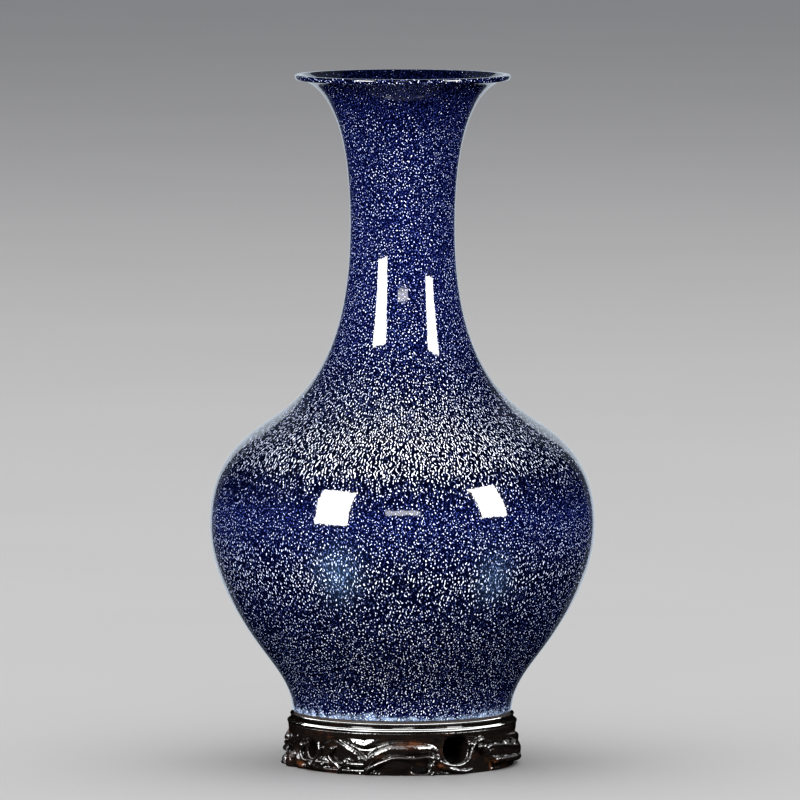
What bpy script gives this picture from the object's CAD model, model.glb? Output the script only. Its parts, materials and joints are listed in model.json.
"""Porcelain bottle vase in a carved hardwood stand: looks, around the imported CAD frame."""

import json
import math

import bpy
import numpy as np
from mathutils import Euler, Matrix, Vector

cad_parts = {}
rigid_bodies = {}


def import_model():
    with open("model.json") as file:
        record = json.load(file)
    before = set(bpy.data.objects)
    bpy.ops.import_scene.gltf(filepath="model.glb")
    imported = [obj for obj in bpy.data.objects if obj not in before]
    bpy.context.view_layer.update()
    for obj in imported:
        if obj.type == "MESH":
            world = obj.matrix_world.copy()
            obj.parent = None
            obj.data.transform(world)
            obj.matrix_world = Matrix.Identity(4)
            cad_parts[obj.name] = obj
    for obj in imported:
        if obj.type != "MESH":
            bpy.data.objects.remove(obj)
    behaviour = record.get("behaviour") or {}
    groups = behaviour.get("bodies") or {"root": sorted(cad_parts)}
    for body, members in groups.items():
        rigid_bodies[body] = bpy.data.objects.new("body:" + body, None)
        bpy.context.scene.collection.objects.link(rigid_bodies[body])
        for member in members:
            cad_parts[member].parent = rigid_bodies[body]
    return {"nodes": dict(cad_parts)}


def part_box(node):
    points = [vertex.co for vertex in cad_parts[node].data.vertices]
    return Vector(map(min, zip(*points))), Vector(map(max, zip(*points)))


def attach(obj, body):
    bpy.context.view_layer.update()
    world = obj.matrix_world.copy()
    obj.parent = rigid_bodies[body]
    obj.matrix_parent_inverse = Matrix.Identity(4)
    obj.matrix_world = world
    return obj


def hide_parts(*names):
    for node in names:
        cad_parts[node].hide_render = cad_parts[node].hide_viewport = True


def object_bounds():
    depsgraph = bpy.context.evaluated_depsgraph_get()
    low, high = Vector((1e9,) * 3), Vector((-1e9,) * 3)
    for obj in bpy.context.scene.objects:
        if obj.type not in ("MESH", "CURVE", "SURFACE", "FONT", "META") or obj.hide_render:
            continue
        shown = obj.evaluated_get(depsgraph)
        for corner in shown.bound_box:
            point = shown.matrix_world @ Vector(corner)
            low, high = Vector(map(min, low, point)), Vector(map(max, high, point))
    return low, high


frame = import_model()
cad_lo, cad_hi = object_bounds()

MM = 0.001
height = cad_hi.z - cad_lo.z
vase_lo, vase_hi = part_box("vase")
felt_lo, felt_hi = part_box("seat_felt")

# ---------------------------------------------------------------- camera

cam_data = bpy.data.cameras.new("Camera")
cam = bpy.data.objects.new("Camera", cam_data)
bpy.context.scene.collection.objects.link(cam)
bpy.context.scene.camera = cam
cam_data.sensor_width = 36.0
cam_data.lens = 470.0
cam_data.clip_start, cam_data.clip_end = 0.1, 200.0
CAM_BACK = 15.06        # times the object's height
CAM_UP = 1.7523
AIM_UP = 0.5284
AIM_LEFT = 0.00347
CAM_ROLL = 0.05         # degrees
eye = Vector((0.0, -CAM_BACK * height, CAM_UP * height))
aim = Vector((-AIM_LEFT * height, 0.0, AIM_UP * height))
cam.location = eye
quat = (aim - eye).to_track_quat("-Z", "Y")
cam.rotation_mode = "QUATERNION"
cam.rotation_quaternion = quat @ Euler((0, 0, math.radians(CAM_ROLL))).to_quaternion()


# ---------------------------------------------------------------- node helper

class Tree:
    """A small helper for writing node trees."""

    def __init__(self, name):
        self.mat = bpy.data.materials.new(name)
        self.mat.use_nodes = True
        self.nt = self.mat.node_tree
        self.nt.nodes.clear()

    def node(self, kind, inputs=None, **props):
        n = self.nt.nodes.new(kind)
        for k, v in props.items():
            setattr(n, k, v)
        for key, v in (inputs or {}).items():
            self.put(n.inputs[key], v)
        return n

    def put(self, socket, v):
        if isinstance(v, bpy.types.NodeSocket):
            self.nt.links.new(v, socket)
        elif v is not None:
            socket.default_value = v

    def math(self, op, a, b=None):
        n = self.nt.nodes.new("ShaderNodeMath")
        n.operation = op
        for i, v in enumerate((a, b)):
            if v is not None:
                self.put(n.inputs[i], v)
        return n.outputs[0]

    def add(self, a, b):
        return self.math("ADD", a, b)

    def sub(self, a, b):
        return self.math("SUBTRACT", a, b)

    def mul(self, a, b):
        return self.math("MULTIPLY", a, b)

    def step(self, v, lo, hi):
        """Smooth step of v, from 0 at lo to 1 at hi."""
        n = self.node("ShaderNodeMapRange", {0: v, 1: lo, 2: hi, 3: 0.0, 4: 1.0},
                      interpolation_type="SMOOTHSTEP")
        return n.outputs[0]

    def ramp(self, v, lo, hi, to_lo=0.0, to_hi=1.0):
        """Straight ramp of v, from to_lo at lo to to_hi at hi."""
        n = self.node("ShaderNodeMapRange", {0: v, 1: lo, 2: hi, 3: to_lo, 4: to_hi}, clamp=True)
        return n.outputs[0]

    def mix(self, fac, a, b):
        n = self.nt.nodes.new("ShaderNodeMix")
        n.data_type = "RGBA"
        n.clamp_factor = True
        self.put(n.inputs[0], fac)
        for i, v in ((6, a), (7, b)):
            if isinstance(v, tuple) and len(v) == 3:
                v = (*v, 1.0)
            self.put(n.inputs[i], v)
        return n.outputs[2]

    def noise(self, vector, scale, detail=0.0, rough=0.5, distortion=0.0, out="Fac"):
        n = self.node("ShaderNodeTexNoise", {"Vector": vector, "Scale": scale, "Detail": detail,
                                             "Roughness": rough, "Distortion": distortion})
        return n.outputs[out]

    def stops(self, v, table):
        """Colour ramp: table of (position, (r, g, b)). Returns the colour socket."""
        n = self.nt.nodes.new("ShaderNodeValToRGB")
        while len(n.color_ramp.elements) < len(table):
            n.color_ramp.elements.new(0.5)
        for e, (p, c) in zip(n.color_ramp.elements, table):
            e.position = p
            e.color = (*c, 1.0)
        self.put(n.inputs[0], v)
        return n.outputs[0]

    def bump(self, height_socket, strength, distance):
        n = self.node("ShaderNodeBump",
                      {"Strength": strength, "Distance": distance, "Height": height_socket})
        return n.outputs[0]

    def principled(self, **inputs):
        n = self.nt.nodes.new("ShaderNodeBsdfPrincipled")
        for k, v in inputs.items():
            key = k.replace("_", " ")
            if isinstance(v, tuple) and len(v) == 3:
                v = (*v, 1.0)
            self.put(n.inputs[key], v)
        o = self.nt.nodes.new("ShaderNodeOutputMaterial")
        self.nt.links.new(n.outputs[0], o.inputs[0])
        return n


# ---------------------------------------------------------------- glaze

def glaze_material():
    t = Tree("cobalt_flambe_glaze")
    co = t.node("ShaderNodeTexCoord").outputs["Object"]
    xyz = t.node("ShaderNodeSeparateXYZ", {0: co})
    x, y, z = xyz.outputs[0], xyz.outputs[1], xyz.outputs[2]
    # mm up the wall, shortened where the glaze ran
    flow = t.node("ShaderNodeAttribute", attribute_name="flow").outputs["Fac"]
    radius = t.mul(t.math("SQRT", t.add(t.mul(x, x), t.mul(y, y))), 1000.0)
    angle = t.math("ARCTAN2", x, t.mul(y, -1.0))
    GORES = 14          # strips round the vase on which the pattern is laid flat
    STRETCH = 1.25      # height of a crystal over its width where the glaze didn't run
    turn = t.add(t.mul(angle, GORES / (2 * math.pi)), GORES / 2)
    gore_w = t.mul(radius, 2 * math.pi / GORES)
    sets = []
    for k in range(2):
        a = t.add(turn, 0.5 * k)
        f = t.sub(t.math("FRACT", a), 0.5)
        idx = t.math("FLOORED_MODULO", t.math("FLOOR", a), float(GORES))
        u = t.mul(f, gore_w)
        sets.append((u, t.mul(idx, 37.7), t.math("COSINE", t.mul(f, math.pi)), k))

    wobble = t.noise(co, 55.0, 1.0, out="Color")
    wob = t.node("ShaderNodeSeparateColor", {0: wobble})
    wu = t.mul(t.sub(wob.outputs[0], 0.5), 5.0)
    wv = t.mul(t.sub(wob.outputs[1], 0.5), 4.0)

    def field(cell, seed):
        """Flat noise laid on the glazed surface in its own millimetres, about zero."""
        total = None
        for u, idx, w, k in sets:
            uu = t.add(u, wu)
            vv = t.add(flow, wv)
            parts = {0: t.mul(uu, 1.0 / cell), 1: t.mul(vv, 1.0 / (cell * STRETCH)), 2: 0.0}
            v = t.node("ShaderNodeCombineXYZ", parts).outputs[0]
            m = t.node("ShaderNodeMapping", {"Vector": v, "Rotation": (0.0, 0.0, 0.57)}).outputs[0]
            # every gore reads its own part of the noise
            parts = {0: t.add(idx, seed), 1: seed * 1.7 + 13.1 * k, 2: 0.0}
            shift = t.node("ShaderNodeCombineXYZ", parts).outputs[0]
            m = t.node("ShaderNodeVectorMath", {0: m, 1: shift})
            n = t.node("ShaderNodeTexNoise", {"Vector": m.outputs[0], "Scale": 1.0, "Detail": 0.0})
            n.noise_dimensions = "2D"
            n = t.mul(t.sub(n.outputs["Fac"], 0.5), w)
            total = n if total is None else t.add(total, n)
        return total

    zmm = t.mul(z, 1000.0)
    # zone table over the height: red = how white, green = how black the ground is,
    # blue = how much it has run into threads
    zone_lo, zone_hi = vase_lo.z * 1000, vase_hi.z * 1000
    zone_table = [
        (30, (0.60, 0.40, 0.20)), (42, (0.60, 0.80, 0.30)), (66, (0.63, 0.80, 0.30)),
        (92, (0.67, 0.60, 0.40)), (106, (0.84, 0.60, 0.55)), (120, (0.68, 0.35, 0.20)),
        (138, (0.49, 0.20, 0.10)), (150, (0.54, 0.50, 0.60)), (163, (0.72, 0.95, 1.00)),
        (180, (0.81, 0.95, 0.90)), (198, (0.78, 0.70, 0.50)), (225, (0.51, 0.40, 0.10)),
        (262, (0.39, 0.25, 0.00)), (335, (0.49, 0.30, 0.10)), (351, (0.16, 0.60, 0.10)),
        (358, (0.02, 0.90, 0.00)), (361.8, (0.10, 1.00, 0.00)), (363.5, (0.36, 1.00, 0.00))]
    zones = t.stops(t.ramp(zmm, zone_lo, zone_hi),
                    [((h - zone_lo) / (zone_hi - zone_lo), c) for h, c in zone_table])
    zs = t.node("ShaderNodeSeparateColor", {0: zones})
    white_level, black_level, thread_level = zs.outputs[0], zs.outputs[1], zs.outputs[2]

    patch = t.sub(t.noise(co, 22.0, 2.0, 0.55), 0.5)
    placed = {"Vector": co, "Location": (3.1, 1.7, 0.4), "Scale": (1, 1, 0.45)}
    patch2 = t.sub(t.noise(t.node("ShaderNodeMapping", placed).outputs[0], 60.0, 1.0, 0.5), 0.5)

    crystals = field(0.70, 3.0)
    meander = t.add(t.noise(co, 290.0, 0.0), t.mul(t.noise(co, 580.0, 0.0), 0.45))
    threads = t.math("SINE", t.add(t.mul(angle, 288.0), t.mul(meander, 13.0)))
    inside = t.ramp(t.node("ShaderNodeAttribute", attribute_name="inside").outputs["Fac"], 0.0, 1.0)

    value = t.add(t.mul(crystals, t.ramp(thread_level, 0.0, 1.0, 1.08, 0.46)),
                  t.mul(t.mul(threads, thread_level), 0.275))
    value = t.add(value, t.add(t.mul(patch, 0.06), t.mul(patch2, 0.04)))
    value = t.sub(value, t.mul(inside, 0.12))
    side = t.math("POWER", t.math("SINE", angle), 2.0)
    value = t.sub(value, t.mul(t.mul(side, thread_level), 0.075))
    white_at = t.ramp(white_level, 0.0, 1.0, 0.402, 0.187)
    white = t.step(t.sub(value, white_at), -0.012, 0.022)
    blue_lo = t.ramp(black_level, 0.0, 1.0, 0.085, 0.120)
    blue = t.step(t.sub(value, blue_lo), 0.0, 0.10)

    clear_dark = (0.0003, 0.0005, 0.0030)
    base = t.mix(blue, t.mix(black_level, (0.0006, 0.0012, 0.013), clear_dark),
                 t.mix(black_level, (0.0105, 0.0180, 0.165), (0.0120, 0.0170, 0.115)))
    # clear dark glaze between the threads
    base = t.mix(t.mul(thread_level, 0.65), base, clear_dark)
    # a paler blue where a crystal thins out
    halo = t.mul(t.step(t.sub(value, white_at), -0.12, 0.0), t.ramp(thread_level, 0.0, 1.0, 0.65, 0.12))
    base = t.mix(halo, base, (0.095, 0.150, 0.40))
    pale = t.mix(black_level, (0.76, 0.81, 0.95), (0.92, 0.93, 0.94))
    base = t.mix(white, base, t.mix(t.mul(side, 0.55), pale, (0.36, 0.47, 0.86)))

    # froth at the foot
    froth_noise = t.sub(t.noise(co, 210.0, 3.0, 0.6), 0.5)
    glaze_edge = vase_lo.z * 1000 + 4.4
    fade = t.mul(t.sub(zmm, glaze_edge), -0.13)
    froth = t.step(t.add(fade, t.mul(froth_noise, 2.2)), -0.50, 0.50)
    base = t.mix(t.mul(froth, 0.78), base,
                 t.mix(t.step(crystals, -0.05, 0.1), (0.12, 0.27, 0.60), (0.83, 0.9, 0.96)))

    # two milky blooms on the lower belly, where the glaze pooled
    for bearing, up, wide, tall, much in ((-19.8, 109.2, 9.5, 11.0, 0.135), (29.0, 106.3, 8.0, 10.5, 0.10)):
        du = t.mul(t.sub(angle, math.radians(bearing)), 95.0 / wide)
        dv = t.mul(t.sub(zmm, up), 1.0 / tall)
        d2 = t.add(t.mul(du, du), t.mul(dv, dv))
        bloom = t.math("EXPONENT", t.mul(d2, -1.0))
        base = t.mix(t.mul(t.mul(bloom, much), t.ramp(value, -0.02, 0.20, 0.25, 2.1)), base,
                     (0.27, 0.50, 1.0))

    # unglazed foot
    bare_z = vase_lo.z * 1000 + 4.1
    bare = t.sub(1.0, t.step(t.add(zmm, t.mul(froth_noise, 0.5)), bare_z - 0.12, bare_z + 0.12))
    under = t.node("ShaderNodeAttribute", attribute_name="under").outputs["Fac"]
    bare = t.math("MAXIMUM", bare, under)
    clay = t.mix(t.noise(co, 900.0, 3.0), (0.016, 0.011, 0.009), (0.040, 0.028, 0.021))
    base = t.mix(bare, base, clay)

    rough = t.add(t.mul(bare, 0.5), t.ramp(t.noise(co, 300.0, 2.0), 0.3, 0.7, 0.025, 0.055))
    peel = t.add(t.noise(co, 420.0, 1.0), t.mul(white, 0.12))
    normal = t.bump(peel, 0.06, 0.0004)
    t.principled(Base_Color=base, Roughness=rough, IOR=1.5,
                 Specular_IOR_Level=t.ramp(inside, 0.0, 1.0, 0.5, 0.15), Coat_Weight=0.0, Normal=normal)
    return t.mat


def lacquer_material(name, relief, worn=()):
    """Near-black rosewood under a clear polished lacquer; relief is the strength of its fine unevenness."""
    t = Tree(name)
    co = t.node("ShaderNodeTexCoord").outputs["Object"]
    grain_co = t.node("ShaderNodeMapping", {"Vector": co, "Scale": (1.0, 1.0, 7.0)}).outputs[0]
    grain = t.noise(grain_co, 240.0, 3.0, 0.6, 0.4)
    patch = t.noise(co, 70.0, 2.0, 0.5)
    warm = t.mul(t.step(patch, 0.56, 0.74), t.step(grain, 0.35, 0.65))
    base = t.mix(t.step(grain, 0.4, 0.7), (0.0035, 0.0026, 0.0023), (0.0068, 0.0046, 0.0037))
    base = t.mix(warm, base, (0.034, 0.0135, 0.0065))
    # places rubbed down to the brown wood under the lacquer:
    # (angle, height, half-width and half-height in mm, strength)
    part = t.node("ShaderNodeSeparateXYZ", {0: co})
    angle = t.math("ARCTAN2", part.outputs[0], t.mul(part.outputs[1], -1.0))
    up = t.mul(part.outputs[2], 1000.0)
    for bearing, at, wide, tall, much in worn:
        du = t.mul(t.sub(angle, math.radians(bearing)), 60.0 / wide)
        dv = t.mul(t.sub(up, at), 1.0 / tall)
        rub = t.math("EXPONENT", t.mul(t.add(t.mul(du, du), t.mul(dv, dv)), -1.0))
        base = t.mix(t.mul(t.mul(rub, much), t.step(grain, 0.30, 0.52)), base, (0.115, 0.038, 0.014))
    pits = t.noise(co, 1500.0, 1.0)
    rough = t.ramp(t.noise(co, 260.0, 2.0), 0.3, 0.7, 0.08, 0.17)
    normal = t.bump(t.add(t.noise(co, 520.0, 2.0), t.mul(pits, 0.25)), relief, 0.0004)
    t.principled(Base_Color=base, Roughness=rough, IOR=1.5, Coat_Weight=0.6, Coat_Roughness=0.06,
                 Coat_IOR=1.55, Normal=normal)
    return t.mat


def hardwood_material():
    """Pale close-grained wood of the dowels and splines, unfinished."""
    t = Tree("pale_hardwood_raw")
    co = t.node("ShaderNodeTexCoord").outputs["Object"]
    grain_co = t.node("ShaderNodeMapping", {"Vector": co, "Scale": (1.0, 1.0, 0.12)}).outputs[0]
    grain = t.noise(grain_co, 1600.0, 3.0, 0.6, 0.5)
    rings = t.noise(co, 190.0, 2.0)
    base = t.mix(t.step(grain, 0.35, 0.7), (0.42, 0.27, 0.13), (0.60, 0.43, 0.24))
    base = t.mix(t.mul(t.step(rings, 0.45, 0.7), 0.5), base, (0.33, 0.20, 0.10))
    t.principled(Base_Color=base, Roughness=t.ramp(grain, 0.3, 0.7, 0.5, 0.7),
                 Normal=t.bump(grain, 0.3, 0.0003))
    return t.mat


def felt_material():
    """Pressed wool felt: short fibres lying every way, with a soft sheen."""
    t = Tree("green_felt")
    co = t.node("ShaderNodeTexCoord").outputs["Object"]
    fibres = t.noise(t.node("ShaderNodeMapping", {"Vector": co, "Scale": (1.0, 0.25, 1.0)}).outputs[0],
                     2600.0, 3.0, 0.7, 2.0)
    across = t.noise(t.node("ShaderNodeMapping", {"Vector": co, "Scale": (0.25, 1.0, 1.0)}).outputs[0],
                     2600.0, 3.0, 0.7, 2.0)
    pile = t.mul(t.add(fibres, across), 0.5)
    clumps = t.noise(co, 150.0, 3.0, 0.6)
    base = t.mix(t.step(pile, 0.38, 0.62), (0.006, 0.020, 0.011), (0.020, 0.052, 0.031))
    base = t.mix(t.mul(t.step(clumps, 0.4, 0.7), 0.5), base, (0.014, 0.034, 0.020))
    t.principled(Base_Color=base, Roughness=0.95, Specular_IOR_Level=0.15, Sheen_Weight=0.12,
                 Sheen_Roughness=0.4, Sheen_Tint=(0.35, 0.5, 0.4),
                 Normal=t.bump(t.add(pile, t.mul(clumps, 0.6)), 0.6, 0.0005))
    return t.mat


# ---------------------------------------------------------------- mesh helpers

def outline_of(node):
    """The distinct (radius, height) points of a turned CAD node, in metres, and which of them are joined."""
    me = frame["nodes"][node].data
    co = np.array([v.co for v in me.vertices])
    rz = np.column_stack([np.hypot(co[:, 0], co[:, 1]), co[:, 2]])
    key = np.round(rz, 5)
    uniq, inv = np.unique(key, axis=0, return_inverse=True)
    inv = inv.ravel()
    links = {i: set() for i in range(len(uniq))}
    for e in me.edges:
        a, b = inv[e.vertices[0]], inv[e.vertices[1]]
        if a != b:
            links[a].add(b)
            links[b].add(a)
    return uniq, links


def walk(uniq, links, start, nxt):
    path = [start, nxt]
    while True:
        here, prev = path[-1], path[-2]
        ahead = [k for k in links[here] if k != prev and k not in path]
        if not ahead:
            break
        path.append(ahead[0])
    return uniq[path]


def spline(points, spacing):
    """Natural cubic spline through the points, resampled at about that spacing."""
    p = np.asarray(points, float)
    d = np.r_[0, np.cumsum(np.linalg.norm(np.diff(p, axis=0), axis=1))]
    n = len(p)
    h = np.diff(d)
    out = []
    s = np.linspace(0, d[-1], max(2, int(round(d[-1] / spacing)) + 1))
    for c in range(p.shape[1]):
        y = p[:, c]
        a = np.zeros((n, n))
        b = np.zeros(n)
        a[0, 0] = a[-1, -1] = 1
        for i in range(1, n - 1):
            a[i, i - 1], a[i, i], a[i, i + 1] = h[i - 1], 2 * (h[i - 1] + h[i]), h[i]
            b[i] = 6 * ((y[i + 1] - y[i]) / h[i] - (y[i] - y[i - 1]) / h[i - 1])
        m = np.linalg.solve(a, b)
        i = np.clip(np.searchsorted(d, s, side="right") - 1, 0, n - 2)
        t0, hh = s - d[i], h[i]
        out.append(y[i] + t0 * ((y[i + 1] - y[i]) / hh - hh * (2 * m[i] + m[i + 1]) / 6)
                   + t0 ** 2 * m[i] / 2 + t0 ** 3 * (m[i + 1] - m[i]) / (6 * hh))
    return np.column_stack(out)


def new_object(name, verts, faces, smooth=True):
    me = bpy.data.meshes.new(name)
    me.from_pydata([tuple(v) for v in verts], [], [tuple(f) for f in faces])
    me.validate()
    if smooth:
        me.polygons.foreach_set("use_smooth", np.ones(len(me.polygons), bool))
    me.update()
    ob = bpy.data.objects.new(name, me)
    bpy.context.scene.collection.objects.link(ob)
    return ob


def lathe(name, outline, segments, cap_start=False, cap_end=False, closed=False, wobble=None):
    """Turns an outline of (radius, height) round Z. Caps close an end with a centre point."""
    o = np.asarray(outline)
    n = len(o)
    th = np.arange(segments) * 2 * math.pi / segments
    r = np.repeat(o[:, 0][:, None], segments, 1)
    z = np.repeat(o[:, 1][:, None], segments, 1)
    if wobble is not None:
        r = r + wobble(o, th)
    verts = np.stack([r * np.sin(th), -r * np.cos(th), z], -1).reshape(-1, 3)
    faces = []
    rows = n if closed else n - 1
    for i in range(rows):
        a, b = i * segments, ((i + 1) % n) * segments
        for j in range(segments):
            k = (j + 1) % segments
            faces.append((a + j, a + k, b + k, b + j))
    verts = verts.tolist()
    if cap_start:
        c = len(verts)
        verts.append((0, 0, o[0, 1]))
        faces += [(c, (j + 1) % segments, j) for j in range(segments)]
    if cap_end:
        c = len(verts)
        verts.append((0, 0, o[-1, 1]))
        a = (n - 1) * segments
        faces += [(c, a + j, a + (j + 1) % segments) for j in range(segments)]
    return new_object(name, verts, faces)


def add_attribute(ob, name, values):
    a = ob.data.attributes.new(name, "FLOAT", "POINT")
    a.data.foreach_set("value", np.asarray(values, np.float32))


# ---------------------------------------------------------------- the vase

def thin_out(points, least):
    kept = [points[0]]
    for p in points[1:]:
        if np.linalg.norm(p - kept[-1]) > least:
            kept.append(p)
    return np.array(kept)


uniq, links = outline_of("vase")
ends = sorted((i for i in links if len(links[i]) == 1), key=lambda i: uniq[i][1])
loop = thin_out(walk(uniq, links, ends[0], next(iter(links[ends[0]]))), 0.15 * MM)

# the foot ring, up to the glaze edge, is the first run; then the wall, over the lip and down inside
edge = int(np.argmax(loop[:, 0] > 58.1 * MM))
foot = loop[:edge]
wall = loop[edge:]
bare_r, bare_z = foot[-1]
glaze_r, glaze_z = wall[0]
# the glaze stops in a thick rounded roll just above the bare foot
roll = np.array([[bare_r, bare_z - 0.2 * MM], [bare_r + 0.35 * MM, bare_z],
                 [bare_r + 0.8 * MM, bare_z + 0.25 * MM], [glaze_r - 0.02 * MM, glaze_z + 0.4 * MM]])
wall_line = spline(np.vstack([roll, wall[1:]]), 1.1 * MM)
# the facets of the CAD outline are faired out, away from the foot and the lip
hold = (np.clip((wall_line[:, 1] - glaze_z) / (12 * MM), 0, 1)
        * np.clip((vase_hi.z - 5 * MM - wall_line[:, 1]) / (14 * MM), 0, 1))
hold[[0, -1]] = 0.0
for _ in range(70):
    eased = wall_line.copy()
    eased[1:-1] = 0.25 * wall_line[:-2] + 0.5 * wall_line[1:-1] + 0.25 * wall_line[2:]
    wall_line += (eased - wall_line) * hold[:, None]
# the lip ends in a slightly flattened edge
crest = int(np.argmax(wall_line[:, 1]))
near = np.arange(len(wall_line))
under = int(np.max(near[(near < crest) & (wall_line[:, 0] < 54.2 * MM)]))
over = int(np.min(near[(near > crest) & (wall_line[:, 0] < 53.6 * MM)]))
lip = np.array([(55.30, 362.30), (56.15, 362.50), (56.60, 362.98), (56.86, 363.65), (56.94, 364.20),
                (56.88, 364.68), (56.62, 365.04), (56.10, 365.22), (55.20, 365.28)]) * MM
lip = lip + np.array([[0.0, vase_hi.z - 365.3 * MM]])
lip = spline(np.vstack([wall_line[under - 1:under + 1], lip, wall_line[over:over + 2]]), 0.55 * MM)
wall_line = np.vstack([wall_line[:under - 1], lip, wall_line[over + 2:]])


def rounded(points, radius, steps=4):
    """Rounds the corners of an open outline."""
    out = [points[0]]
    for a, b, c in zip(points[:-2], points[1:-1], points[2:]):
        ua, uc = a - b, c - b
        la, lc = np.linalg.norm(ua), np.linalg.norm(uc)
        k = min(radius, 0.45 * la, 0.45 * lc)
        p, q = b + ua / la * k, b + uc / lc * k
        for t in np.linspace(0, 1, steps + 1):
            out.append((1 - t) ** 2 * p + 2 * t * (1 - t) * b + t * t * q)
    out.append(points[-1])
    return np.array(out)


foot_line = rounded(np.vstack([[[0.0, foot[0, 1]]], foot, roll[:1]]), 0.5 * MM)[1:-1]
profile = np.vstack([foot_line, wall_line])
n_foot = len(foot_line)
SEGMENTS = 224


def thrown(o, th):
    """Slow unevenness of a thrown and fired wall, up to 0.1 mm, and none at the foot or lip."""
    rise = (o[:, 1] - vase_lo.z) / (vase_hi.z - vase_lo.z)
    soft = np.clip(rise / 0.12, 0, 1) * np.clip((1 - rise) / 0.08, 0, 1)
    a = rise[:, None] * 7.0
    return (0.06 * MM * np.sin(2 * th + a) + 0.04 * MM * np.sin(3 * th - 1.7 * a + 1)) * soft[:, None]


vase = lathe("vase_body", profile, SEGMENTS, cap_start=True, cap_end=True, wobble=thrown)
steps_mm = np.r_[0, np.cumsum(np.linalg.norm(np.diff(profile, axis=0), axis=1))] / MM
steps_mm -= steps_mm[n_foot]
top_i = n_foot + int(np.argmax(wall_line[:, 1]))
on_inside = np.zeros(len(profile))
on_inside[top_i:] = np.clip((np.arange(len(profile) - top_i)) / 2.0, 0, 1)
is_under = np.zeros(len(profile))
is_under[:n_foot] = 1.0
z_mm = profile[:, 1] / MM
# how far the glaze ran: streaks are long on the shoulder and short elsewhere
ran = np.interp(z_mm, [29, 60, 80, 100, 118, 132, 152, 166, 178, 192, 210, 240, 300, 352, 366],
                [1.0, 1.0, 1.15, 1.6, 1.5, 1.0, 1.05, 1.9, 2.1, 1.5, 1.15, 1.0, 1.0, 1.0, 1.0])
run_mm = np.r_[0, np.cumsum(np.diff(steps_mm) / (0.5 * (ran[1:] + ran[:-1])))]


def per_ring(values, start_value, end_value):
    return np.r_[np.repeat(values, SEGMENTS), start_value, end_value]


add_attribute(vase, "flow", per_ring(run_mm, run_mm[0], run_mm[-1]))
add_attribute(vase, "inside", per_ring(on_inside, 0.0, 1.0))
add_attribute(vase, "under", per_ring(is_under, 1.0, 0.0))
vase.data.materials.append(glaze_material())
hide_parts("vase")
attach(vase, "vase")


# ---------------------------------------------------------------- the carved apron

WALL_R = 60.0           # radius, in mm, at which the carving is laid out flat
CELL = 0.34             # mm between samples of the carving
JOINT = -19.5           # angle of the first glue joint, degrees from the front
SEGMENT = 72.0
ARC = math.radians(1) * WALL_R
APRON_TOP = 22.5        # mm, as are the five below
LEDGE_Z = 19.7          # height of the ledge under the rim's skirt
LEDGE_R = 58.75         # radius out to which the ledge is cut
INNER_R = 49.5          # radius of the apron's inner face
DOWEL_R = 53.4          # radius on which the dowels stand
SPLINE_R = 54.6         # radius on which the splines sit

# Pierced openings: [angle, bottom, top, width in mm]
windows = [
    (29.0, 5.6, 20.8, 15.4), (9.4, 0.9, 4.7, 9.2), (-24.0, 1.6, 6.8, 8.2), (-54.2, 7.0, 15.6, 9.0),
    (102, 6.4, 19.4, 11), (82, 1.6, 6, 6.8), (124, 1.8, 6.6, 7), (174, 6.4, 20, 11.6), (163, 1.4, 5.6, 6),
    (195, 1.8, 7, 6.4), (241, 6.8, 18.4, 10.4), (222, 1.6, 6, 7.6), (-84, 1.4, 5.6, 6)]
# Swelling lobes: [angle, height, half-width along the ring, half-height, how far proud of the wall, how deep]
lobes = [
    (-3, 7.0, 14.0, 9.0, 1.5, 9),
    (58, 10.0, 12.5, 9.5, 1.0, 10), (69, 9.6, 12.0, 9.2, 2.0, 10), (81, 8.8, 10.0, 9.0, 2.8, 10),
    (92, 7.6, 9.0, 8.6, 3.0, 10),
    (-45, 4.0, 6.0, 6.0, 0.4, 7), (-66, 4.4, 7.0, 6.6, 2.0, 8), (-77, 2.0, 9.0, 8.0, 3.0, 9),
    (-91, 0.0, 9.5, 8.0, 4.2, 9),
    (131, 2, 10, 9, 2.2, 9), (143, 3, 10, 9, 2.6, 9), (173, -1, 10, 5.6, 2.6, 9), (206, 3, 9.5, 8.6, 2.2, 9),
    (216, 2, 10, 8.4, 2.6, 9), (233, 0.5, 8, 7, 2.6, 8),
    (113, 3.0, 8, 7.4, 1.6, 8), (189, 3.0, 7, 7, 1.6, 8), (250, 4.0, 8, 8, 2.0, 8),
    (-104, 4.0, 8, 8.4, 2.6, 8)]
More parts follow.
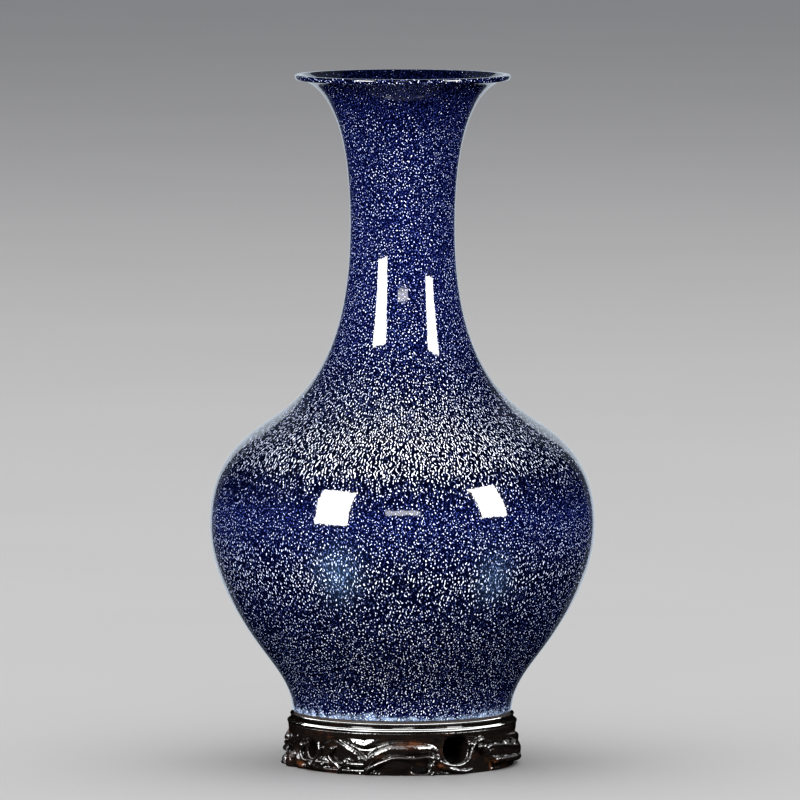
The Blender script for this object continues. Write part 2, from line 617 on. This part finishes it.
# Rolls, straps and vines: rows of (angle, height, how far proud, half-thickness), then ribs per mm
vines = [
    # the long arch at the front and its lower strand
    ([(-17.8, 3.6, 0.2, 1.2), (-16.6, 7.4, 0.4, 2.2), (-12, 11.0, 0.6, 3.2), (-3.5, 13.8, 0.9, 3.5),
      (3.0, 14.0, 1.2, 3.2),
      (9.5, 13.9, -0.2, 3.0), (15.5, 13.4, -1.7, 2.6), (19.0, 11.6, -2.4, 2.0)], 0),
    ([(-18.6, 1.0, 0.8, 0.7), (-16.6, 3.2, 1.5, 0.9), (-9.5, 7.4, 2.2, 1.0), (-2.4, 9.6, 2.5, 1.0),
      (6.2, 9.2, 2.4, 0.95), (13.6, 9.7, 1.6, 0.9), (17.4, 8.6, 1.4, 1.0)], 0),
    ([(17.6, 8.6, 1.4, 1.7), (15.8, 6.8, 1.6, 0.9), (15.0, 4.8, 1.7, 1.4), (16.2, 2.6, 1.2, 0.8),
      (15.2, 0.4, 1.2, 1.1)], 0),
    # the loop under the big opening
    ([(18.8, 7.4, 1.0, 1.2), (22.4, 5.9, 1.8, 0.8), (27.6, 4.9, 2.0, 0.75), (33.6, 6.8, 1.9, 0.8),
      (36.8, 11.4, 1.6, 0.85), (38.4, 15.0, 1.2, 1.2)], 0),
    ([(18.2, 5.6, 0.6, 0.9), (22.4, 4.1, 1.4, 1.3), (28.0, 2.3, 1.7, 1.4), (33.6, 1.6, 1.5, 1.2),
      (37.6, 2.6, 0.8, 0.7)], 0),
    # the curled end and ridge of the big lobe at the right
    ([(39.8, 16.0, 0.5, 1.1), (42.6, 17.2, 1.1, 1.7), (45.8, 16.4, 1.2, 1.2), (46.0, 14.0, 1.4, 1.1),
      (43.0, 13.8, 1.4, 1.2)], 0),
    ([(45.6, 12.0, 1.6, 1.3), (49.0, 13.2, 1.7, 1.4), (56, 13.6, 1.9, 0.8), (66, 12.6, 2.7, 0.75),
      (76, 11.0, 3.0, 0.7), (86, 9.6, 2.8, 0.7)], 0),
    ([(66, 17.4, 0.0, 1.0), (76, 16.6, 0.9, 1.5), (85, 15.8, 1.1, 1.6), (93, 13.4, 1.0, 1.3)], 0),
    # the ribbed strap and the leaf at the left
    ([(-35.6, 16.8, -1.4, 2.0), (-32.4, 15.2, -0.9, 2.7), (-28.2, 12.8, -0.6, 2.9), (-23.6, 10.2, -0.6, 2.6),
      (-20.4, 8.2, -0.6, 1.7)], 0),
    ([(-34.0, 17.8, -0.2, 0.5), (-30.6, 16.3, 0.2, 0.55), (-26.6, 14.3, 0.4, 0.55),
      (-22.4, 12.0, 0.2, 0.5)], 0),
    ([(-34.6, 16.6, -0.1, 0.5), (-31.2, 15.1, 0.4, 0.55), (-27.2, 13.0, 0.6, 0.55),
      (-22.8, 10.5, 0.4, 0.5)], 0),
    ([(-35.2, 15.4, -0.1, 0.5), (-31.8, 13.9, 0.3, 0.55), (-27.8, 11.8, 0.5, 0.55),
      (-23.2, 9.2, 0.3, 0.5)], 0),
    ([(-35.6, 14.0, -0.2, 0.5), (-32.4, 12.6, 0.1, 0.55), (-28.6, 10.5, 0.3, 0.55),
      (-23.6, 7.8, 0.1, 0.5)], 0),
    ([(-37.2, 12.6, 0.8, 1.0), (-39.8, 9.6, 0.9, 0.9), (-38.4, 7.2, 1.0, 0.9), (-34.8, 4.6, 1.1, 0.95),
      (-32.8, 2.6, 1.1, 0.95), (-33.8, 0.7, 0.9, 0.85)], 0),
    ([(-29.6, 7.0, 0.7, 1.5), (-31.4, 4.4, 0.8, 0.9)], 0),
    ([(-47.6, 15.6, -0.2, 1.2), (-46.6, 12.0, 0.5, 1.5), (-47.4, 8.4, 0.6, 1.3), (-49.4, 6.2, 0.6, 1.0)], 0),
    ([(-61.4, 13.4, 0.8, 1.4), (-61.6, 10.0, 1.2, 1.2), (-60.4, 6.8, 1.3, 1.0), (-57.4, 5.2, 1.0, 0.8)], 0),
    ([(-66.4, 16.6, 0.2, 1.2), (-72, 14.6, 0.8, 1.6), (-80, 12.4, 1.4, 1.5), (-87, 11.6, 2.0, 1.3)], 0),
    # right side
    ([(94.6, 12, 1.1, 1.6), (97, 6.6, 1.2, 1.2), (103, 4.4, 1.3, 1.3), (109.4, 8, 1.1, 1.5),
      (111, 13, 1.0, 1.3)], 0),
    ([(108, 17.6, 0.6, 1.4), (114, 16.2, 1.2, 2.0), (118.6, 12.8, 1.2, 1.6), (116.0, 10.4, 1.4, 1.4)], 0),
    # back
    ([(121, 8, 1, 1.7), (130, 13.4, 1.4, 2.3), (141, 14.2, 1.4, 2.4), (151, 12, 1.1, 1.9),
      (155, 9, 1.0, 1.5)], 0),
    ([(119, 4.6, 1.0, 0.9), (129, 9.2, 2.0, 1.0), (141, 9.8, 2.2, 1.0), (152, 7.6, 1.4, 0.9)], 0),
    ([(194, 15.2, 1.2, 1.8), (188, 14.2, 1.3, 1.6), (183.4, 11, 1.2, 1.1), (181, 7, 1.3, 1.0),
      (174, 4.7, 1.5, 1.1), (167, 7.6, 1.2, 1.3), (163, 9.6, 1.2, 1.7)], 0),
    ([(184, 4.4, 1.2, 1.1), (174, 2.4, 1.6, 1.2), (165, 4.6, 1.2, 1.1), (160, 6.6, 1.0, 1.4)], 0),
    ([(199, 8, 1, 1.7), (206, 12.8, 1.4, 2.3), (217, 14.0, 1.4, 2.4), (227, 11.6, 1.1, 1.9),
      (231, 8.6, 1.0, 1.5)], 0),
    ([(197, 4.4, 1.0, 0.9), (206, 8.6, 1.9, 1.0), (217, 9.6, 2.2, 1.0), (227, 7.2, 1.5, 0.9)], 0),
    # left side
    ([(234, 14, 0.9, 1.7), (234.6, 8.4, 1.1, 1.3), (241, 4.8, 1.3, 1.2), (247.6, 8.4, 1.1, 1.4),
      (249, 13.6, 1.0, 1.7)], 0),
    ([(-108, 17.4, 0.5, 1.5), (-102, 15.4, 1.2, 2.0), (-95, 13.6, 1.5, 2.1), (-88, 14.2, 1.4, 1.7)], 1),
    ([(-104, 9.6, 1.6, 1.0), (-96, 8.4, 2.6, 1.0), (-88, 8.2, 2.8, 0.9), (-80, 8.4, 2.0, 0.8)], 0)]
# Knobs: [angle, height, radius, how far proud]
knobs = [
    (18.0, 8.8, 2.2, 1.6), (15.2, 5.0, 1.8, 2.0), (42.8, 17.2, 2.2, 1.8), (42.4, 13.8, 1.5, 2.1),
    (46.0, 11.8, 1.9, 2.2), (49.2, 13.4, 1.7, 2.4), (46.4, 16.2, 1.3, 1.7),
    (36.8, 15.4, 1.7, 1.6), (-37.6, 13.0, 1.5, 1.7), (-29.4, 6.4, 1.6, 1.5), (-52.2, 3.7, 1.7, 2.6),
    (-56.0, 2.8, 1.0, 2.2), (-43.4, 4.4, 1.1, 2.2),
    (-61.0, 12.8, 1.7, 1.8), (-66.4, 16.8, 1.2, 0.6), (-21.6, 8.4, 1.5, 1.2), (90, 13.6, 2.6, 1.6),
    (115, 16, 2.6, 1.8), (161, 9.4, 2.4, 1.9),
    (194, 15.4, 2.6, 1.8), (232, 10, 2.4, 1.9), (252, 15, 2.6, 1.7), (117.6, 10.2, 1.8, 1.8),
    (-88, 14.4, 2.2, 1.8), (-104, 9.6, 1.8, 2.2)]
# Lines scored with a small gouge (negative) or left standing (positive): points, half-width, height
lines = [
    ([(-14.6, 7.4), (-8, 10.4), (-1, 11.6), (8, 11.4), (14, 11.4)], 0.5, -0.42),
    ([(57, 5.4), (62, 3.8), (67, 1.6)], 0.45, -0.2), ([(53.6, 6.0), (54.4, 3.4), (54.0, 1.2)], 0.6, 0.3),
    ([(-66, 9), (-71, 7.4), (-79, 5.6)], 0.5, -0.24),
    ([(-27.6, 16.0), (-20, 13.9), (-13.4, 15.0)], 0.6, -0.35),
    ([(125, 6.4), (132, 7.6), (142, 7.4)], 0.5, -0.3), ([(126, 3.6), (134, 5.2), (146, 4.4)], 0.5, -0.26),
    ([(202, 6.2), (210, 7.2), (220, 7.2)], 0.5, -0.3),
    ([(203, 3.4), (211, 4.8), (218, 4.6)], 0.5, -0.26), ([(126, 11.0), (134, 12.9), (146, 12.2)], 0.5, -0.4),
    ([(203, 10.8), (212, 12.6), (222, 11.8)], 0.5, -0.4),
    ([(113, 6.6), (116, 8.0), (119, 6.6)], 0.5, -0.3), ([(168, 1.6), (174, 0.9), (181, 1.8)], 0.5, -0.26),
    ([(-100, 5.6), (-92, 4.8), (-84, 5.4)], 0.5, -0.32),
    ([(-98, 2.6), (-91, 1.8), (-85, 2.2)], 0.5, -0.28), ([(248, 5.6), (252, 7.6), (254, 11)], 0.5, -0.3),
    ([(188, 5), (191, 8.4), (190, 11.4)], 0.5, -0.3)]
# the plain band's lower edge, waved over the carving: (angle, height)
band_edge = [(-180, 16.6), (-150, 17.4), (-128, 18.2), (-112, 17.0), (-96, 17.6), (-80, 16.4), (-66, 15.8),
             (-54, 16.6), (-44, 15.2), (-38, 17.8), (-29, 17.6),
             (-25, 15.4), (-19, 14.5), (-13, 16.4), (-4, 18.2), (6, 18.2), (14, 17.2), (20, 19.6), (27, 20.9),
             (34, 19.4), (41, 18.6), (52, 15.2), (66, 15.6), (80, 16.6), (96, 18.6), (104, 19.6),
             (118, 17.6), (135, 18.0), (150, 16.6), (165, 18.6), (180, 16.6)]


def smooth_min(a, b, k):
    h = np.maximum(k - np.abs(a - b), 0.0)
    return np.minimum(a, b) - h * h * (0.25 / k)


def smooth_max(a, b, k):
    return -smooth_min(-a, -b, k)


def nearest(angle, middle):
    return (angle - middle + 540.0) % 360.0 - 180.0 + middle


def carve(k):
    """Distance field of apron segment k on a grid laid out flat: along the ring, height, radius, all in mm."""
    first, last = JOINT + SEGMENT * (k - 1), JOINT + SEGMENT * k
    mid = 0.5 * (first + last)
    s_lo, s_hi = first * ARC, last * ARC
    s = np.arange(s_lo - 3 * CELL + 0.13, s_hi + 3 * CELL, CELL)
    z = np.arange(-3 * CELL + 0.11, APRON_TOP + 3 * CELL, CELL)
    r = np.arange(INNER_R - 3 * CELL + 0.12, 68.0, CELL)
    S, Z, R = s[:, None, None], z[None, :, None], r[None, None, :]
    shape = (len(s), len(z), len(r))

    def window(lo, hi, axis):
        return slice(max(0, int(np.searchsorted(axis, lo))), int(np.searchsorted(axis, hi)) + 1)

    def sweep(rows, ribs):
        """A round bar of changing thickness along the row of points."""
        f = np.full(shape, 9.0, np.float32)
        p = np.array([(nearest(a, mid) * ARC, h, WALL_R + proud - 0.55 * t, t) for a, h, proud, t in rows])
        if p[:, 0].max() < s_lo - 4 or p[:, 0].min() > s_hi + 4:
            return None
        q = spline(p, 0.42)
        run = np.r_[0, np.cumsum(np.linalg.norm(np.diff(q[:, :3], axis=0), axis=1))]
        for (cs, cz, cr, ct), at in zip(q, run):
            if ribs:
                ct = ct * (1.0 - 0.15 * (0.5 - 0.5 * math.cos(2 * math.pi * at / 2.3)) ** 2)
            m = ct + 1.3
            a, b, c = window(cs - m, cs + m, s), window(cz - m, cz + m, z), window(cr - m, cr + m, r)
            if a.start >= a.stop or b.start >= b.stop or c.start >= c.stop:
                continue
            d = np.sqrt((S[a] - cs) ** 2 + (Z[:, b] - cz) ** 2 + (R[:, :, c] - cr) ** 2) - ct
            np.minimum(f[a, b, c], d, out=f[a, b, c])
        return f

    # the wall: a plain band above, the ground of the carving set back below it
    edge_a = np.array([a for a, _ in band_edge], float)
    edge_h = np.array([h for _, h in band_edge], float)
    ang = (s / ARC + 180.0) % 360.0 - 180.0
    edge = np.interp(ang, edge_a, edge_h)[:, None]
    band = 1.0 / (1.0 + np.exp(-(z[None, :] - edge) / 0.33))
    ground = 58.5 + 0.5 * np.clip((4.0 - z[None, :]) / 4.0, 0, 1) ** 1.5
    face = ground + (59.9 + 0.16 * np.clip(z[None, :] - 19, 0, 3) - ground) * band
    # the band leans out a little towards its lower edge, most where its tongue drops between strap and arch
    lean = (0.22 + 0.85 * np.exp(-((ang + 20.0) / 6.0) ** 2)
            + 0.3 * np.exp(-((np.abs(ang) - 160.0) / 12.0) ** 2))
    face = face + lean[:, None] * band * np.exp(-((z[None, :] - edge - 1.0) / 2.0) ** 2)
    d = (R - face[:, :, None]).astype(np.float32)
    for a, h, half, tall, proud, deep in lobes:
        cs = nearest(a, mid) * ARC
        if cs < s_lo - half - 3 or cs > s_hi + half + 3:
            continue
        core = WALL_R + proud - deep
        q = np.sqrt(((S - cs) / half) ** 2 + ((Z - h) / tall) ** 2 + ((R - core) / deep) ** 2)
        d = smooth_min(d, (q - 1.0) * min(half, tall, deep) * 0.9, 1.1)
    # openings, with their edges eased
    for a, lo, hi, wide in windows:
        cs = nearest(a, mid) * ARC
        if cs < s_lo - wide or cs > s_hi + wide:
            continue
        half, tall = wide / 2, (hi - lo) / 2
        x, y = (s[:, None] - cs) / half, (z[None, :] - (lo + hi) / 2) / tall
        q = (np.abs(x) ** 2.3 + np.abs(y) ** 2.3) ** (1 / 2.3)
        q = (q - 1.0) * min(half, tall)
        d = smooth_max(d, -np.broadcast_to(q[:, :, None], shape), 1.0)
    for rows, ribs in vines:
        f = sweep(rows, ribs)
        if f is not None:
            d = smooth_min(d, f, 0.75)
    for a, h, radius, proud in knobs:
        cs = nearest(a, mid) * ARC
        if cs < s_lo - 4 or cs > s_hi + 4:
            continue
        f = np.sqrt((S - cs) ** 2 + (Z - h) ** 2 + (R - (WALL_R + proud - radius)) ** 2) - radius
        d = smooth_min(d, f, 0.45)
    # scored and standing lines
    for rows, half, tall in lines:
        p = np.array([(nearest(a, mid) * ARC, h) for a, h in rows])
        if p[:, 0].max() < s_lo - 4 or p[:, 0].min() > s_hi + 4:
            continue
        q = spline(p, 0.3)
        g = np.full((len(s), len(z)), 99.0)
        for i, (cs, cz) in enumerate(q):
            ease = min(1.0, (i + 1) / 5.0, (len(q) - i) / 5.0)
            w = half * (0.45 + 0.55 * ease)
            g = np.minimum(g, np.sqrt((s[:, None] - cs) ** 2 + (z[None, :] - cz) ** 2) / w)
        cut = tall * np.maximum(0.0, 1.0 - (g / 1.7) ** 2) ** 2
        d = d - cut[:, :, None] * np.clip(R - 56.0, 0, 1)
    # the tool's slight unevenness
    d = d + (0.05 * np.sin(S * 1.9 + 1.3 * np.sin(Z * 1.1))
             * np.sin(Z * 2.3 + 1.7 * np.sin(S * 0.8 + k)) * np.clip(R - 57.0, 0, 1))
    # foot, top, the notch for the rim's skirt and the inner face
    d = smooth_max(d, -Z, 0.5)
    d = smooth_max(d, np.broadcast_to(Z - (22.42 - 0.42 * np.clip(R - 60.3, 0, 6)), shape), 0.25)
    d = np.maximum(d, -np.maximum(R - LEDGE_R, LEDGE_Z - Z))
    d = np.maximum(d, INNER_R - R)
    d = np.maximum(d, (8.0 * (53.5 - R) - 4.0 * Z) / math.hypot(8, 4))
    # bores for the dowels, pockets for the loose splines
    for way in (-22.0, 22.0):
        bore = np.hypot((S - (mid + way) * ARC) * (DOWEL_R / WALL_R), R - DOWEL_R) - 1.35
        d = np.maximum(d, -np.maximum(bore, (LEDGE_Z + 2.5 - 7.8) - Z))
    for at in (s_lo, s_hi):
        pocket = np.maximum(np.maximum(np.abs(S - at) * (SPLINE_R / WALL_R) - 4.1, np.abs(R - SPLINE_R) - 1.9),
                            np.abs(Z - 12.0) - 0.9)
        d = np.maximum(d, -pocket)
    # sawn flat at both glue joints
    d = np.maximum(d, np.maximum(s_lo + 0.03 - S, S - s_hi + 0.03))
    return d, s, z, r


def skin(d, s, z, r):
    """Naive surface nets over the distance field: one vertex per crossed cell, one quad per crossed edge."""
    inside = d < 0
    n = [m - 1 for m in d.shape]
    count = np.zeros(n, np.uint8)
    corners = [(i, j, k) for i in (0, 1) for j in (0, 1) for k in (0, 1)]
    for i, j, k in corners:
        count += inside[i:i + n[0], j:j + n[1], k:k + n[2]]
    I, J, K = np.nonzero((count > 0) & (count < 8))
    ids = np.full(n, -1, np.int64)
    ids[I, J, K] = np.arange(len(I))
    val = {c: d[I + c[0], J + c[1], K + c[2]].astype(float) for c in corners}
    total, hits = np.zeros((len(I), 3)), np.zeros(len(I))
    for a in corners:
        for axis in range(3):
            if a[axis]:
                continue
            b = tuple(1 if m == axis else a[m] for m in range(3))
            va, vb = val[a], val[b]
            cross = (va < 0) != (vb < 0)
            t = np.where(cross, va / np.where(cross, va - vb, 1.0), 0.0)
            p = np.tile(np.array(a, float), (len(I), 1))
            p[:, axis] += t
            total += p * cross[:, None]
            hits += cross
    at = total / hits[:, None] + np.column_stack([I, J, K])
    out = np.column_stack([s[0] + at[:, 0] * CELL, z[0] + at[:, 1] * CELL, r[0] + at[:, 2] * CELL])
    quads = []
    for axis in range(3):
        u, v = (axis + 1) % 3, (axis + 2) % 3
        lo = [slice(None)] * 3
        hi = [slice(None)] * 3
        lo[axis], hi[axis] = slice(0, -1), slice(1, None)
        for m in (u, v):
            lo[m] = hi[m] = slice(1, -1)
        a, b = inside[tuple(lo)], inside[tuple(hi)]
        P = np.column_stack(np.nonzero(a != b))
        flip = a[P[:, 0], P[:, 1], P[:, 2]]
        P[:, u] += 1
        P[:, v] += 1
        ring = []
        for du, dv in ((-1, -1), (0, -1), (0, 0), (-1, 0)):
            c = P.copy()
            c[:, u] += du
            c[:, v] += dv
            ring.append(ids[c[:, 0], c[:, 1], c[:, 2]])
        q = np.column_stack(ring)
        q[~flip] = q[~flip][:, ::-1]
        quads.append(q)
    return out, np.concatenate(quads)


def quad_object(name, verts, quads):
    me = bpy.data.meshes.new(name)
    me.vertices.add(len(verts))
    me.vertices.foreach_set("co", verts.astype(np.float32).ravel())
    me.loops.add(4 * len(quads))
    me.loops.foreach_set("vertex_index", quads.astype(np.int32).ravel())
    me.polygons.add(len(quads))
    me.polygons.foreach_set("loop_start", np.arange(0, 4 * len(quads), 4, dtype=np.int32))
    me.polygons.foreach_set("use_smooth", np.ones(len(quads), bool))
    me.update(calc_edges=True)
    me.validate()
    me.set_sharp_from_angle(angle=math.radians(58))
    ob = bpy.data.objects.new(name, me)
    bpy.context.scene.collection.objects.link(ob)
    return ob


rosewood = lacquer_material("black_rosewood_lacquer", 0.25, worn=(
    (5.0, 16.6, 6.0, 1.6, 0.6), (19.0, 4.6, 1.7, 1.4, 0.8), (52.5, 3.0, 0.9, 2.6, 0.8),
    (138.0, 4.0, 4.0, 1.4, 0.8), (212.0, 16.0, 6.0, 1.5, 0.8),
    (-62.0, 3.0, 2.0, 1.6, 0.7), (-98.0, 16.5, 4.0, 1.4, 0.8), (176.0, 17.0, 4.0, 1.2, 0.8),
    (88.0, 17.5, 4.0, 1.4, 0.7)))
turned_rosewood = lacquer_material("black_rosewood_turned", 0.05)
for k in range(1, 6):
    out, quads = skin(*carve(k))
    # the sawn faces are brought exactly flat, so that both glue joints close to a hairline
    for at, way in ((JOINT + SEGMENT * (k - 1), 1), (JOINT + SEGMENT * k, -1)):
        plane = at * ARC + way * 0.03
        close = np.abs(out[:, 0] - plane) < 0.8 * CELL
        out[close, 0] = plane
    th = out[:, 0] / WALL_R
    rho = out[:, 2] * MM
    verts = np.column_stack([rho * np.sin(th), -rho * np.cos(th), out[:, 1] * MM])
    # known fault: skin() already winds the quads outwards, and reversing them turns their faces inwards
    piece = quad_object("apron_carving_%d" % k, verts, quads[:, ::-1])
    piece.data.materials.append(rosewood)
    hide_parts("apron_segment_%d" % k)
    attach(piece, "stand")


# ---------------------------------------------------------------- rim moulding, felt, carried-over nodes

def closed_outline(node):
    """The closed (radius, height) loop of a turned CAD ring, counter-clockwise, in metres."""
    uniq, links = outline_of(node)
    start = int(np.lexsort((uniq[:, 0], uniq[:, 1]))[0])
    loop = walk(uniq, links, start, sorted(links[start], key=lambda i: -uniq[i][0])[0])
    x, y = loop[:, 0], loop[:, 1]
    area = np.sum(x * np.roll(y, -1) - np.roll(x, -1) * y)
    return loop if area > 0 else loop[::-1]


ring = closed_outline("rim_ring")
# the cove is scooped right in behind the bead
scoop = int(np.argmin(np.abs(ring - np.array([[59.3, 24.7]]) * MM).sum(1)))
ring[scoop] = (59.25 * MM, 24.15 * MM)
bead = (ring[:, 0] > 60.1 * MM) & (ring[:, 1] > 22.4 * MM)
first = int(np.argmax(bead))
bead_round = np.array([(60.30, 22.5), (60.62, 22.72), (60.78, 23.0), (60.80, 23.3), (60.74, 23.56),
                       (60.60, 23.80), (60.38, 23.97), (60.12, 24.05)]) * MM
ring = np.vstack([ring[:first], bead_round, ring[first + int(bead.sum()):]])
# and the lip is a small half-round
turned_over = (ring[:, 0] > 58.7 * MM) & (ring[:, 1] > 26.8 * MM)
first = int(np.argmax(turned_over))
lip_angles = np.radians(np.linspace(-50, 118, 9))
lip_round = np.column_stack([58.74 + 0.54 * np.cos(lip_angles), 26.95 + 0.54 * np.sin(lip_angles)]) * MM
ring = np.vstack([ring[:first], lip_round, ring[first + int(turned_over.sum()):]])
middle = 0.5 * (ring[0] + ring[-1])
ring = rounded(np.vstack([[middle], ring, [middle]]), 0.42 * MM, 6)[:-1]
# long straight runs get points of their own, so that the turning's slight unevenness has something to move
full = []
for p, q in zip(ring, np.roll(ring, -1, axis=0)):
    n = max(1, int(np.linalg.norm(q - p) / (0.8 * MM)))
    full += [p + (q - p) * i / n for i in range(n)]
rim = lathe("rim_moulding", np.array(full), 288, closed=True,
            wobble=lambda o, th: (0.03 * MM * np.sin(3 * th + 0.7)[None, :]
                                  + 0.02 * MM * np.sin(7 * th + 90 * o[:, 1:2] / MM * 0.05)))
rim.data.materials.append(turned_rosewood)
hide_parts("rim_ring")
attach(rim, "stand")

R, rows, SPOKES = felt_hi.x, 28, 160
th = np.arange(SPOKES) * 2 * math.pi / SPOKES
edge = R - 0.10 * MM * (1 + np.sin(5 * th) * np.sin(11 * th + 1) + 0.5 * np.sin(37 * th + np.sin(9 * th)))
fan = np.linspace(0.04, 1.0, rows)


def felt_face(z, up):
    """One face of the disc: a slightly uneven surface that turns over at the cut edge."""
    v = []
    for f in fan:
        r = edge * f
        soft = np.clip((R - r) / (0.35 * MM), 0, 1)
        dip = 0.035 * MM * (1 + np.sin(r / MM * 1.7 + 3 * np.sin(4 * th)) * np.sin(13 * th + r / MM))
        sink = (1 - np.sqrt(np.clip(1 - (1 - soft) ** 2, 0, 1))) * 0.28 * MM
        v.append(np.column_stack([r * np.sin(th), -r * np.cos(th), z - up * (dip + sink)]))
    return np.vstack(v)


low, high = felt_face(felt_lo.z, -1.0), felt_face(felt_hi.z, 1.0)
verts = np.vstack([low, high, [[0, 0, felt_lo.z + 0.03 * MM], [0, 0, felt_hi.z - 0.03 * MM]]])
faces, half = [], rows * SPOKES
for i in range(rows - 1):
    for j in range(SPOKES):
        k = (j + 1) % SPOKES
        a, b, c, e = i * SPOKES + j, i * SPOKES + k, (i + 1) * SPOKES + k, (i + 1) * SPOKES + j
        faces += [(a, b, c, e), (half + e, half + c, half + b, half + a)]
for j in range(SPOKES):
    k, o = (j + 1) % SPOKES, (rows - 1) * SPOKES
    faces += [(o + j, o + k, half + o + k, half + o + j), (2 * half, k, j),
              (2 * half + 1, half + j, half + k)]
felt = new_object("felt_disc", verts, faces)
felt.data.materials.append(felt_material())
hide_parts("seat_felt")
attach(felt, "seat_pad")

hardwood = hardwood_material()
for node, material in (("seat_board", rosewood), ("apron_dowels", hardwood), ("joint_splines", hardwood)):
    me = frame["nodes"][node].data
    me.materials.clear()
    me.materials.append(material)
    me.polygons.foreach_set("material_index", np.zeros(len(me.polygons), np.int32))


# ---------------------------------------------------------------- stage

def stage_material():
    t = Tree("pale_floor")
    co = t.node("ShaderNodeTexCoord").outputs["Object"]
    base = t.mix(t.noise(co, 3.0, 3.0), (0.66, 0.65, 0.635), (0.70, 0.69, 0.675))
    t.principled(Base_Color=base, Roughness=0.55)
    return t.mat


s_half = 40.0
floor = new_object("floor", [(-s_half, -s_half, cad_lo.z), (s_half, -s_half, cad_lo.z),
                             (s_half, s_half, cad_lo.z), (-s_half, s_half, cad_lo.z)],
                   [(0, 1, 2, 3)], smooth=False)
floor.data.materials.append(stage_material())

scene = bpy.context.scene
scene.view_settings.view_transform = "Standard"
world = bpy.data.worlds.new("studio")
scene.world = world
world.use_nodes = True
world.node_tree.nodes["Background"].inputs[0].default_value = (0.38, 0.39, 0.42, 1)
world.node_tree.nodes["Background"].inputs[1].default_value = 1.0
world.cycles_visibility.glossy = False


def softbox(name, azimuth, elevation, wide, high, radiance, colour=(1, 1, 1), distance=2.2, target=None):
    """A rectangular light placed by azimuth and elevation as seen from the target, its size in degrees."""
    at = target or Vector((0, -0.06, 0.16))
    a, e = math.radians(azimuth), math.radians(elevation)
    way = Vector((math.sin(a) * math.cos(e), -math.cos(a) * math.cos(e), math.sin(e)))
    d = bpy.data.lights.new(name, "AREA")
    d.shape = "RECTANGLE"
    d.size = 2 * distance * math.tan(math.radians(wide / 2))
    d.size_y = 2 * distance * math.tan(math.radians(high / 2))
    d.energy = radiance * math.pi * d.size * d.size_y
    d.color = colour
    o = bpy.data.objects.new(name, d)
    bpy.context.scene.collection.objects.link(o)
    o.location = at + way * distance
    o.rotation_mode = "QUATERNION"
    o.rotation_quaternion = way.to_track_quat("Z", "Y")
    o.visible_camera = False
    return o


# azimuth, elevation, width and height of the two windows, in degrees
LEFT_WINDOW = (-43.5, 20.0, 21.0, 31.0)
RIGHT_WINDOW = (57.8, 23.0, 17.2, 28.0)
# they light neither the floor, which stays even from every side, nor the rim, which has its own copies
pieces_only = bpy.data.collections.new("pieces_only")
for o in bpy.data.objects:
    if o.type == "MESH" and o not in (floor, rim):
        pieces_only.objects.link(o)
for o in (softbox("key_left", *LEFT_WINDOW, 32.0), softbox("key_right", *RIGHT_WINDOW, 32.0)):
    o.light_linking.receiver_collection = pieces_only
softbox("window_strip", 0.5, 16.2, 20.0, 4.5, 9.5)
# the pale room behind the vase, seen only in the grazing reflections at its edges
vase_only = bpy.data.collections.new("vase_only")
vase_only.objects.link(vase)
for name, az in (("rim_left", -160.0), ("rim_right", 160.0)):
    o = softbox(name, az, 10.0, 26.0, 60.0, 0.09, colour=(0.75, 0.88, 1.0))
    o.visible_diffuse = False
    o.light_linking.receiver_collection = vase_only
o = softbox("room_back", 180.0, 3.0, 42.0, 36.0, 0.8, colour=(0.80, 0.90, 1.0))
o.visible_diffuse = False
o.light_linking.receiver_collection = vase_only
# soft lights that only the apron and the board mirror: they draw the highlights of the carving
stand_only = bpy.data.collections.new("stand_only")
carvings = [o for o in bpy.data.objects if o.name.startswith("apron_carving")]
for o in [frame["nodes"]["seat_board"]] + carvings:
    stand_only.objects.link(o)
for name, az, el, wide, high, radiance in (("stand_top", 0.0, 74.0, 100.0, 34.0, 4.0),
                                           ("stand_back_left", -128.0, 34.0, 70.0, 30.0, 0.6),
                                           ("stand_back_right", 128.0, 34.0, 70.0, 30.0, 0.6),
                                           ("stand_left", -96.0, 27.0, 22.0, 22.0, 7.0),
                                           ("stand_right", 90.0, 30.0, 20.0, 20.0, 16.0),
                                           ("stand_sky", -40.0, 40.0, 70.0, 36.0, 2.2)):
    o = softbox(name, az, el, wide, high, radiance, target=Vector((0, -0.02, 0.02)))
    o.visible_diffuse = False
    o.light_linking.receiver_collection = stand_only
# for the turned rim alone: dimmer windows, and a bright ceiling mirrored as two crisp lines
rim_only = bpy.data.collections.new("rim_only")
rim_only.objects.link(rim)
for o in (softbox("rim_key_left", *LEFT_WINDOW, 7.0), softbox("rim_key_right", *RIGHT_WINDOW, 7.0)):
    o.light_linking.receiver_collection = rim_only
o = softbox("rim_ceiling", 0.0, 89.0, 112.0, 112.0, 36.0, distance=1.2, target=Vector((0, 0, 0.02)))
o.visible_diffuse = False
o.light_linking.receiver_collection = rim_only
# broad light from above, which nothing mirrors
top = softbox("overhead", 0.0, 89.0, 90.0, 90.0, 1.25, distance=4.0)
top.visible_glossy = False
floor.visible_glossy = False
